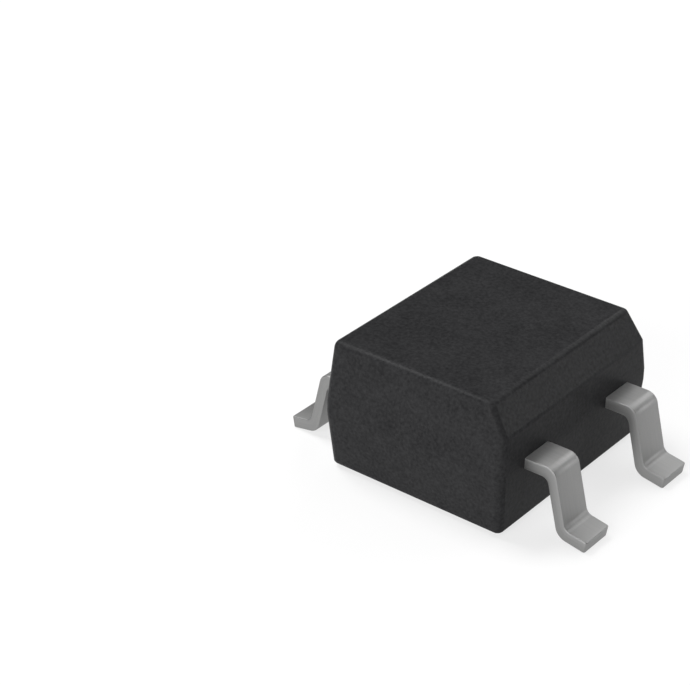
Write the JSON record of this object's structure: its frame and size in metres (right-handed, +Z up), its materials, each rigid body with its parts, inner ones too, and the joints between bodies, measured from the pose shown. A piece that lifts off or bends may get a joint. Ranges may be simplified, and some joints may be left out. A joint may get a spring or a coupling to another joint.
{
  "type": "bridge rectifier",
  "caption": "Small surface-mount bridge rectifier: black moulded block with one bevelled top edge and formed gull-wing leads, holding a full-wave diode bridge.",
  "frame": {"origin": "middle of the footprint, on the plane of the board that the toes touch", "axes": "+X across the rows of leads towards the bevelled side, where the plus and minus leads are; +Y along a row, from AC 1 and plus to AC 2 and minus; +Z up"},
  "size_m": [0.0066, 0.0048, 0.0027],
  "materials": {
    "moulding": "black filled epoxy, finely spark-eroded mould texture",
    "leads": "copper strip with satin tin plating",
    "silicon": "silicon with glass over the mesa edge",
    "solder": "reflowed high-lead solder"
  },
  "bodies": {
    "root": {"moulded_body": "moulding", "lead_frame_ac_1": "leads", "lead_frame_ac_2": "leads", "lead_frame_plus": "leads", "lead_frame_minus": "leads", "die_ac_1_to_plus": "silicon", "solder_below_ac_1_to_plus": "solder", "solder_above_ac_1_to_plus": "solder", "die_ac_2_to_plus": "silicon", "solder_below_ac_2_to_plus": "solder", "solder_above_ac_2_to_plus": "solder", "die_minus_to_ac_1": "silicon", "solder_below_minus_to_ac_1": "solder", "solder_above_minus_to_ac_1": "solder", "die_minus_to_ac_2": "silicon", "solder_below_minus_to_ac_2": "solder", "solder_above_minus_to_ac_2": "solder"}
  },
  "joints": []
}
